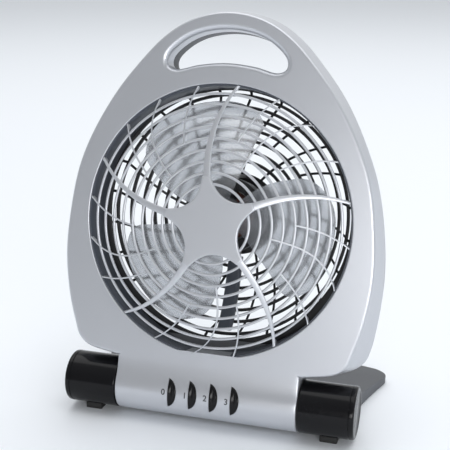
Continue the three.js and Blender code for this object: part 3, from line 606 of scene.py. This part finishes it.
def rear_middle():
    r = DRUM_R
    tangent = math.degrees(math.acos((BACK_Y - DRUM_Y) / r))
    pts = [(17.9, DRUM_Z - 10)]
    for k in range(0, 29):
        a = math.radians(-89.4 + (tangent + 89.4) * k / 28)
        pts.append((DRUM_Y + r * math.cos(a), DRUM_Z + r * math.sin(a)))
    pts += [(BACK_Y + 0.02, -121), (BACK_Y + 0.02, -106), (30, -104), (28, -118), (17.9, -124)]
    loops = []
    for a in arc_steps(6):
        loops.append([(MID_HALF - MID_ROUND + MID_ROUND * math.cos(a), y, z)
                      for y, z in inset(pts, -MID_ROUND * (1 - math.sin(a)))])
    left = [[(-x, y, z) for x, y, z in loop] for loop in reversed(loops)]
    body = build("rear_middle", *skin(loops + left, cap=(True, True)), angle=38)
    inner = [(10, -168.9), (17.9, -169.2)]
    for k in range(0, 17):
        a = math.radians(-86 + (tangent + 86) * k / 16)
        inner.append((DRUM_Y + (r - MID_WALL) * math.cos(a), DRUM_Z + (r - MID_WALL) * math.sin(a)))
    inner += [(30.3, -120), (10, -120)]
    hollow = [[(x, y, z) for y, z in inner] for x in (-MID_HALF + MID_WALL, MID_HALF - MID_WALL)]
    cut(body, build("hollow", *skin(hollow, cap=(True, True))))
    cut(body, pin_bore())
    tidy(body, 38)
    return body


dress(rear_middle(), graphite, "housing", "graphite_plastic")

# ------------------------------------------------------------------ front grille
DOME_DEPTH, DOME_R, DOME_POWER, DOME_SHEAR = 17.6, 112.0, 2.4, 0.085
RINGS = [32.9, 42.2, 51.5, 60.8, 70.2, 79.6, 89, 98, 106.7]
RING_HALF, THIN_RIB_HALF = 1.15, 0.7
RIB_START, RIB_SWEEP, RIB_POWER, RIB_ROOT, SPOKES = 98.0, 14.2, 1.63, 32.0, 5
SPOKE_STEP = 360 / SPOKES
ARM_R, ARM_HALF, NOTCH_R, STAR_ROUND = 40, 3.3, 15.5, 0.9
# (degrees clockwise of the arm at the rim, inner radius, bend in degrees, power of the bend)
THIN_RIBS = ((18.5, 70.2, 10.3, 2), (36.9, 51.5, 16.4, 3.4), (54.6, 70.2, 12.5, 1.8))


def dome(r):
    return DOME_DEPTH * (1 - (r / DOME_R) ** DOME_POWER) if r < DOME_R else 0.0


def sheared(p):
    """The housing frame with the dome leaned a little in z."""
    return housing((p[0], p[1], p[2] + DOME_SHEAR * p[1]))


def rib(stations, round_r):
    """A bar with a soft crown. Each station is (radius, degrees, half width, front, back)."""
    loops = []
    for r, degrees, half, front, back in stations:
        a = math.radians(degrees)
        out, side = (math.cos(a), math.sin(a)), (-math.sin(a), math.cos(a))
        corner = min(round_r, half * 0.95, (back - front) * 0.49)
        section = rounded_rect(-half, half, front, back, corner, 3)
        loops.append([(r * out[0] + s * side[0], y, r * out[1] + s * side[1]) for s, y in section])
    return skin(loops, cap=(True, True))


def sweep(r, power):
    """Share of a rib's bend that is left at radius r, 1 at the root and 0 at the opening."""
    return 1 - (max(r - RIB_ROOT, 0) / (OPENING_R - RIB_ROOT)) ** power


def grille_rib(inner, rim, bend, power, half_at, corner):
    radii = list(np.linspace(inner, 109, 26)) + [111, 112.9, 114.3]
    return rib([(r, rim + bend * sweep(r, power) / sweep(inner, power), half_at(r), -dome(r) - 0.5,
                 4.6 if r > 110 else -dome(r) + 1.1) for r in radii], corner)


def star_outline():
    pts = []
    for k in range(SPOKES):
        arm = math.radians(RIB_START + SPOKE_STEP * k)
        nxt = arm + 2 * math.pi / SPOKES
        notch = arm + math.pi / SPOKES
        start = np.array((ARM_R * math.cos(arm) - ARM_HALF * math.sin(arm),
                          ARM_R * math.sin(arm) + ARM_HALF * math.cos(arm)))
        end = np.array((ARM_R * math.cos(nxt) + ARM_HALF * math.sin(nxt),
                        ARM_R * math.sin(nxt) - ARM_HALF * math.cos(nxt)))
        mid = np.array((NOTCH_R * math.cos(notch), NOTCH_R * math.sin(notch)))
        for j in range(21):
            t = j / 20
            pts.append(tuple((1 - t) ** 2 * start + 2 * t * (1 - t) * mid + t * t * end))
    return pts


def arm_half(r):
    return 3.4 - 2.1 * (r - RIB_ROOT) / 83


def front_grille():
    parts = []
    for r in RINGS:
        y = -dome(r)
        parts.append(lathe(rounded_rect(r - RING_HALF, r + RING_HALF, y + 0.8, y + 2.6, 0.85, 4), 144))
    parts.append(lathe(rounded_rect(115.2, 119, 3.3, 5, 0.5, 2), 144))
    for k in range(SPOKES):
        rim = RIB_START + SPOKE_STEP * k - RIB_SWEEP
        parts.append(grille_rib(RIB_ROOT, rim, RIB_SWEEP, RIB_POWER, arm_half, 0.9))
        for step, inner, bend, power in THIN_RIBS:
            parts.append(grille_rib(inner, rim - step, bend, power, lambda r: THIN_RIB_HALF, 0.5))
    star = star_outline()
    front = -DOME_DEPTH - 0.52
    loops = [at(inset(star, -1.6), front)]
    for a in arc_steps(5):
        loops.append(at(inset(star, -STAR_ROUND * (1 - math.sin(a))), front + STAR_ROUND * (1 - math.cos(a))))
    loops += [at(star, front + 2.6), at(inset(star, -0.5), front + 3.1)]
    parts.append(skin(loops, cap=(True, True)))
    return build("grille", *merged(*parts), place=sheared, angle=42)


dress(front_grille(), silver_grille, "housing", "silver_plastic", "front_grille")

# ------------------------------------------------------------------ rear grille
REAR_RINGS = [48, 57.5, 67, 76.5, 86, 95.6, 105]
REAR_RING_HALF, REAR_RIB_HALF = 1.35, 1.2
REAR_RIBS, REAR_RIB_START, REAR_RIB_TWIST = 24, 8.4, 0.3
REAR_RIM_Y, REAR_RISE, REAR_DOME_R = 34, 39, 107.5


def rear_dome(r):
    return REAR_RIM_Y + REAR_RISE * math.sqrt(max(0.0, 1 - (r / REAR_DOME_R) ** 2))


def rear_grille():
    parts = []
    for r in REAR_RINGS:
        y = rear_dome(r)
        bar = rounded_rect(r - REAR_RING_HALF, r + REAR_RING_HALF, y - 3.4, y + 0.8, 0.9, 3)
        parts.append(lathe(bar, 120))
    parts.append(lathe(rounded_rect(108.4, 118.5, 33.3, 35.6, 0.9, 3), 144))
    plate = [(0.01, 71.8), (36.4, 71.8), (37, 72.3), (37, 73.6), (36.4, 74.2), (30, 74.2), (29, 73.7),
             (14, 73.7), (13, 74.1), (0.01, 74.1)]
    parts.append(lathe(plate, 96))
    for k in range(REAR_RIBS):
        start = REAR_RIB_START + 360 / REAR_RIBS * k
        inner = 35 if k % 2 == 0 else 66.5
        stations = [(r, start + REAR_RIB_TWIST * (105 - r), REAR_RIB_HALF,
                     rear_dome(r) + 0.5, rear_dome(r) + 2.2)
                    for r in [*np.linspace(inner, 104, 22), 106.8]]
        stations.append((109.5, stations[-1][1], REAR_RIB_HALF, 33.6, 37.4))
        parts.append(rib(stations, 0.7))
    return build("rear_guard", *merged(*parts), place=fan_axis, angle=42)


dress(rear_grille(), matt_black, "housing", "black_plastic", "rear_grille")


def wire_cover():
    loops = []
    for r in np.linspace(38, 101, 22):
        y = rear_dome(r) - 5.0
        section = rounded_rect(-3.5, 9.5, y - 7.2, y, 2.6, 5)
        loops.append([(x, yy, -r) for x, yy in section])
    return build("wire_cover", *skin(loops, cap=(True, True)), place=fan_axis, angle=50)


dress(wire_cover(), duct_grey, "housing", "black_plastic", "wire_channel")

# ------------------------------------------------------------------ impeller
BLADES, BLADE_START, BLADE_HALF_THICK, CAMBER = 3, 105, 0.9, 2.2
# (radius, degrees of the front edge, degrees of the back edge, depth of the front edge, of the back edge)
STATIONS = [(15, 52, -28, 9, 25), (28, 55, -30, 9, 28), (45, 53, -32, 8.5, 30.5),
            (65, 47, -33.3, 8.5, 32), (80, 42.5, -34.5, 9, 32.5), (88, 37, -32.5, 10, 31.5),
            (94, 30, -27, 12, 30), (97.2, 23.5, -20, 14, 28), (98.4, 17, -13, 15.5, 26)]


def spread_stations(steps=6):
    """The blade's stations with smooth steps between them."""
    rows = [np.array(s, float) for s in STATIONS]
    out = []
    for i in range(len(rows) - 1):
        p0, p1, p2, p3 = rows[max(i - 1, 0)], rows[i], rows[i + 1], rows[min(i + 2, len(rows) - 1)]
        for k in range(steps):
            t = k / steps
            out.append(0.5 * (2 * p1 + (p2 - p0) * t + (2 * p0 - 5 * p1 + 4 * p2 - p3) * t * t
                              + (3 * p1 - p0 - 3 * p2 + p3) * t ** 3))
    out.append(rows[-1])
    return out


def blade(centre):
    loops = []
    chord = 22
    for r, lead, trail, front, back in spread_stations():
        thick = BLADE_HALF_THICK * (0.35 if r > 98.3 else 1.0)
        lower, upper = [], []
        for i in range(chord + 1):
            t = i / chord
            a = math.radians(centre + lead + (trail - lead) * t)
            taper = thick * (0.3 + 0.7 * math.sin(math.pi * min(max(t, 0.02), 0.98)) ** 0.5)
            y = front + (back - front) * t - CAMBER * math.sin(math.pi * t)
            lower.append((r * math.cos(a), y - taper, r * math.sin(a)))
            upper.append((r * math.cos(a), y + taper, r * math.sin(a)))
        loops.append(lower + upper[::-1])
    return skin(loops, cap=(True, True))


def impeller():
    hub = [(3.3, 6.4), (3.7, 6), (13.5, 6)]
    hub += [(14 + 3 * math.sin(a), 9 - 3 * math.cos(a)) for a in arc_steps(6)]
    hub += [(17, 26.6), (16.7, 27), (15.3, 27), (15, 26.6), (15, 10.5), (14.5, 10), (7, 10), (6.5, 10.5),
            (6.5, 26.6), (6.2, 27), (3.6, 27), (3.3, 26.6)]
    blades = [blade(BLADE_START + 360 / BLADES * k) for k in range(BLADES)]
    return build("blades", *merged(lathe(hub, 96), *blades), place=fan_axis, angle=45)


dress(impeller(), smoke, "impeller", "smoke_blades", "impeller")


def nut():
    loops = []
    for y, r in ((2.0, 6.3), (2.3, 6.8), (5.3, 6.8), (5.6, 6.3)):
        loops.append([(r * math.cos(2 * math.pi * k / 48) * (1 + 0.06 * (k % 4 == 0)), y,
                       r * math.sin(2 * math.pi * k / 48) * (1 + 0.06 * (k % 4 == 0))) for k in range(48)])
    body = build("shaft_nut", *skin(loops, cap=(True, True)), place=fan_axis, angle=30)
    around = [2 * math.pi * k / 32 for k in range(32)]
    hole = build("hole", *skin([[(3.3 * math.cos(a), y, 3.3 * math.sin(a)) for a in around] for y in (0, 8)],
                               cap=(True, True)), place=fan_axis)
    cut(body, hole)
    tidy(body, 30)
    return body


dress(nut(), matt_black, "impeller", "black_plastic", "impeller_nut")

# ------------------------------------------------------------------ motor
WIRE_RIDGE, WIRE_PITCH, SHEET_PITCH, SHEET_ROUND = 0.28, 0.75, 0.9, (0.18, 0.12)


def coil(name, y0, y1, flip):
    """A wound ring with its wires showing as ridges."""
    base = [(12.5, y1), (12.5, y0 + 1.4), (14, y0), (19.5, y0), (21, y0 + 1.4), (21, y1)]
    if flip:
        base = [(r, y0 + y1 - y) for r, y in base]
    pts = []
    for (ra, ya), (rb, yb) in zip(base, base[1:]):
        length = math.hypot(rb - ra, yb - ya)
        wires = max(2, round(length / WIRE_PITCH))
        nx, ny = (yb - ya) / length, -(rb - ra) / length
        sign = -1 if flip else 1
        for k in range(wires * 4):
            t = k / (wires * 4)
            lift = -WIRE_RIDGE * (1 - abs(math.sin(math.pi * t * wires))) * sign
            pts.append((ra + (rb - ra) * t + nx * lift, ya + (yb - ya) * t + ny * lift))
    pts.append(base[-1])
    return build(name, *lathe(pts, 72), place=fan_axis, angle=60)


dress(coil("winding_front", 39.6, 45.7, False), copper, "housing", "varnished_copper", "motor_coil_front")
dress(coil("winding_rear", 60.3, 65.4, True), copper, "housing", "varnished_copper", "motor_coil_rear")


def laminated(name, inner, outer, y0, y1, body, node):
    """A stack of thin sheets, each with softened edges."""
    pts = []
    sheets = round((y1 - y0) / SHEET_PITCH)
    dr, dy = SHEET_ROUND
    for k in range(sheets):
        a, b = y0 + (y1 - y0) * k / sheets, y0 + (y1 - y0) * (k + 1) / sheets
        pts += [(outer - dr, a), (outer, a + dy), (outer, b - dy), (outer - dr, b)]
    pts += [(inner, y1), (inner, y0)]
    obj = build(name, *lathe(pts, 96), place=fan_axis, angle=25)
    dress(obj, lamination, body, "lamination_steel", node)


laminated("stator_stack", 12.4, 31, 46, 60, "housing", "motor_stator")
laminated("rotor_stack", 3.3, 11.8, 46.3, 59.7, "impeller", "motor_rotor")


def motor_cover():
    ring_pts = [(23.5, 41.2), (23.5, 37.3), (24.1, 36.6), (31.2, 36.6), (32.4, 37.2), (33, 38.4), (33, 41.6),
                (32.6, 42), (24.3, 42)]
    return build("motor_cover", *lathe(ring_pts, 96), place=fan_axis, angle=40)


dress(motor_cover(), cover_grey, "housing", "graphite_plastic")

# ------------------------------------------------------------------ screws
def screw(name, place_at, head_r, y0, y1, axis_frame, shank_r, shank_y):
    """A pan head with a cross recess, its axis along Y."""
    px, pz = place_at
    dome_pts = [(0.01, y1)]
    dome_pts += [(head_r * math.sin(a), y1 - (y1 - y0) * 0.75 * (1 - math.cos(a))) for a in arc_steps(8)]
    dome_pts += [(head_r, y0), (shank_r, y0)]
    steps = 12
    for k in range(steps):
        y = y0 + (shank_y - y0) * (k + 0.5) / steps
        dome_pts += [(shank_r, y), (shank_r - 0.25, y + (shank_y - y0) / steps * 0.4)]
    dome_pts += [(0.01, shank_y)]
    obj = build(name, *lathe(dome_pts, 40, x=px, z=pz), place=axis_frame, angle=35)
    for w, h in ((0.4, 1.9), (1.9, 0.4)):
        verts, faces = skin([[(px + sx * w, y, pz + sz * h) for sx, sz in QUARTERS]
                             for y in (y1 - 1.0, y1 + 2)], cap=(True, True))
        cut(obj, build("cross", verts, faces, place=axis_frame))
    tidy(obj, 30)
    return obj


for i, spot in enumerate(((-64, 121), (64, 121), (-112, -92), (112, -92))):
    piece = screw(f"case_screw_{i + 1}", spot, 3.2, BACK_Y + 0.02, BACK_Y + 0.62, housing, 1.4, 20)
    dress(piece, zinc, "housing", "steel", f"housing_screw_{i + 1}")

# ------------------------------------------------------------------ cord inlet
def inlet():
    pts = [(2.6, 37.6), (3.0, 37.4), (3.9, 37.4), (4.1, 37.7), (4.1, 40.5), (5.4, 40.6), (6, 41.1), (6, 41.8),
           (5.6, 42.6), (5.0, 43), (3.4, 43), (2.6, 42.4)]
    return build("inlet_grommet", *lathe(pts, 48, x=-52, z=DRUM_Z + 2), angle=50)


dress(inlet(), rubber, "housing", "black_rubber", "cord_inlet")

# ------------------------------------------------------------------ stand
def turned_x(profile, segments=96):
    """A profile of (radius, x) points turned round the tilt axis."""
    loops = []
    for k in range(segments):
        a = 2 * math.pi * k / segments
        loops.append([(x, r * math.cos(a), r * math.sin(a)) for r, x in profile])
    loops.append(loops[0])
    return skin(loops)


for side, label in ((-1, "left"), (1, "right")):
    def flip(p, s=side):
        return stand((p[0] * s, p[1], p[2]))
    pts = [(4.3, 81.2), (4.5, 81), (21.3, 81)]
    pts += [(21.3 + 1.1 * math.sin(a), 82.1 - 1.1 * math.cos(a)) for a in arc_steps(5)]
    pts += [(22.4, 100), (22.4, 123.1), (22.15, 123.4), (20, 123.4), (20, 83.4), (4.3, 83.4)]
    drum = build(f"{label}_drum_body", *turned_x(pts), place=flip, angle=35)
    slit = ((-23, -24), (23, -24), (23, -15.5), (-23, -15.5))
    notch = build("n", *skin([[(x, y, z) for y, z in slit] for x in (122.3, 125)], cap=(True, True)),
                  place=flip)
    cut(drum, notch)
    tidy(drum, 35)
    dress(drum, gloss_black, "stand", "black_gloss_plastic", f"{label}_drum")
    cap = [(0.01, 123.7), (22.2, 123.7), (22.4, 123.9), (22.4, 126.0)]
    cap += [(20.4 + 2.0 * math.cos(a), 126.0 + 2.0 * math.sin(a)) for a in arc_steps(6)]
    cap += [(19.2, 128), (18.6, 127.7), (18.2, 127.5), (0.01, 127.5)]
    dress(build(f"{label}_end_cap", *turned_x(cap), place=flip, angle=35), gloss_black, "stand",
          "black_gloss_plastic", f"{label}_drum_cap")
    sole = rounded_rect(98.5, 113.5, -10.5, 0.5, 1.4, 4)
    pad = build(f"{label}_foot_pad", *skin([[(x, y, z) for x, y in sole] for z in (-25.5, -15.5)],
                                           cap=(True, True)), place=flip)
    disk = [(0.01, 90), (22.7, 90), (22.7, 120), (0.01, 120)]
    cut(pad, build("d", *turned_x(disk), place=flip))
    tidy(bevelled(pad, 0.35, 2), 35)
    dress(pad, rubber, "stand", "black_rubber", f"{label}_front_pad")
    rear = [(0.01, -25.5), (6.0, -25.5), (6.5, -25.1), (6.5, -23.9), (0.01, -23.9)]
    loops = []
    for k in range(49):
        a = 2 * math.pi * k / 48
        loops.append([(118 + r * math.cos(a), 112 + r * math.sin(a), z) for r, z in rear])
    dress(build(f"{label}_rear_foot", *skin(loops), place=flip, angle=40), rubber, "stand", "black_rubber",
          f"{label}_rear_pad")
    piece = screw(f"{label}_plate_screw", (0, 0), 3.0, 26.0, 27.6,
                  lambda p, s=side: stand((p[0] + s * 102, p[1], p[2] - 9.5)), 1.4, 16)
    dress(piece, zinc, "stand", "steel", f"{label}_stand_screw")


def plate_plan(grow):
    """The plate seen from above, grown by grow, from the notch round the right side and mirrored."""
    side = [(121 + grow, 22.9 - grow), (122.8 + grow, 60), (126 + grow, 74), (131.8 + grow, 93.8),
            (137 + grow, 109)]
    curve = catmull(side, 10)

    def quad(a, b, c, n):
        return [((1 - t) ** 2 * a[0] + 2 * t * (1 - t) * b[0] + t * t * c[0],
                 (1 - t) ** 2 * a[1] + 2 * t * (1 - t) * b[1] + t * t * c[1])
                for t in [k / n for k in range(1, n + 1)]]
    corner = quad(curve[-1], (140 + grow, 121 + grow), (126, 129 + grow), 10)
    back = quad((126, 129 + grow), (80, 143 + grow), (0, 143 + grow), 16)
    half = curve + corner + back
    notch = 78 - grow
    right = [(notch, 30 - grow), (notch, 22.9 - grow)] + half
    return right + [(-x, y) for x, y in reversed(right[:-1])]


def plate_side(drop):
    """The plate seen from the side, its top lowered by drop."""
    def cubic(a, b, c, d, n):
        out = []
        for k in range(1, n + 1):
            t = k / n
            w = ((1 - t) ** 3, 3 * t * (1 - t) ** 2, 3 * t * t * (1 - t), t ** 3)
            out.append(tuple(sum(wi * p[i] for wi, p in zip(w, (a, b, c, d))) for i in (0, 1)))
        return out
    floor = -24.7 - (5 if drop else 0)
    pts = [(17.9, floor), (17.9, -2 - drop), (24.9, -2 - drop)]
    pts += cubic((24.9, -2 - drop), (40, -6 - drop), (52, -11 - drop), (64, -12.8 - drop), 14)
    pts += cubic((64, -12.8 - drop), (90, -16 - drop), (115, -19 - drop), (145, -20 - drop), 18)
    return pts + [(145, floor)]


def plate():
    def block(grow, drop):
        plan = build("plan", *skin([[(x, y, z) for x, y in plate_plan(grow)] for z in (-40, 10)],
                                   cap=(True, True)), place=stand)
        prof = build("prof", *skin([[(x, y, z) for y, z in plate_side(drop)] for x in (-160, 160)],
                                   cap=(True, True)), place=stand)
        return cut(plan, prof, "INTERSECT")
    body = block(0, 0)
    body.name = "base_plate"
    tidy(body, 25)
    bevelled(body, 1.1, 4, 50)
    cut(body, block(-2.6, 2.6))
    tidy(body, 30)
    return body


dress(plate(), graphite, "stand", "graphite_plastic", "stand_plate")

# ------------------------------------------------------------------ carried-over CAD nodes
CARRIED = {
    "motor_shaft": zinc, "front_bearing": zinc, "rear_bearing": zinc, "motor_front_bracket": matt_black,
    "motor_rear_bracket": matt_black, "switch_block": matt_black,
    "left_pivot_pin": zinc, "right_pivot_pin": zinc,
    "left_pivot_clip": zinc, "right_pivot_clip": zinc,
}
for name, mat in CARRIED.items():
    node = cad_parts[name]
    node.data.materials.clear()
    node.data.materials.append(mat)

# ------------------------------------------------------------------ floor, light and camera
FLOOR_HALF = 30
floor_mesh = bpy.data.meshes.new("floor")
floor_mesh.from_pydata([(x * FLOOR_HALF, y * FLOOR_HALF, 0) for x, y in QUARTERS], [], [(0, 1, 2, 3)])
floor = linked("floor", floor_mesh)
floor_mat = bpy.data.materials.new("pale_floor")
floor_mat.use_nodes = True
floor_mat.node_tree.nodes["Principled BSDF"].inputs["Base Color"].default_value = (0.90, 0.93, 0.97, 1)
floor_mat.node_tree.nodes["Principled BSDF"].inputs["Roughness"].default_value = 0.7
floor.data.materials.append(floor_mat)

world = bpy.data.worlds.new("studio")
bpy.context.scene.world = world
world.use_nodes = True
sky, sky_links = world.node_tree.nodes, world.node_tree.links
heading = sky.new("ShaderNodeTexCoord")
facing = sky.new("ShaderNodeSeparateXYZ")
sky_links.new(heading.outputs["Generated"], facing.inputs["Vector"])
front_back = sky.new("ShaderNodeMapRange")
front_back.inputs["From Min"].default_value = -0.95
front_back.inputs["From Max"].default_value = 0.6
front_back.inputs["To Min"].default_value = 0.26
front_back.inputs["To Max"].default_value = 0.85
sky_links.new(facing.outputs["Y"], front_back.inputs["Value"])
sky_links.new(front_back.outputs["Result"], sky["Background"].inputs["Strength"])
sky["Background"].inputs["Color"].default_value = (0.96, 0.98, 1.0, 1)
bpy.context.scene.view_settings.view_transform = "Standard"


def aimed(obj, location, aim):
    obj.location = location
    obj.rotation_euler = (Vector(aim) - Vector(location)).to_track_quat("-Z", "Y").to_euler()
    return obj


def area_light(name, location, aim, size, power, color=(1, 1, 1)):
    """A soft box of the given size (m) and power (W)."""
    data = bpy.data.lights.new(name, "AREA")
    data.shape = "RECTANGLE"
    data.size, data.size_y = size
    data.energy = power
    data.color = color
    aimed(linked(name, data), location, aim)


area_light("front", (0.78, -1.88, 0.48), (0, 0, 0.15), (1.7, 0.55), 18)
area_light("side", (1.7, -0.2, 0.7), (0, 0, 0.15), (1.0, 1.0), 1.2, (0.8, 0.9, 1.0))
area_light("top", (0.2, 0.9, 3.2), (0, 0.3, 0), (4.5, 4.0), 70)

camera_data = bpy.data.cameras.new("camera")
camera_data.lens = 74.78
camera_data.sensor_width = 36
camera = aimed(linked("camera", camera_data), (0.2219, -0.7575, 0.4014), (0.0084, -0.0430, 0.1734))
bpy.context.scene.camera = camera
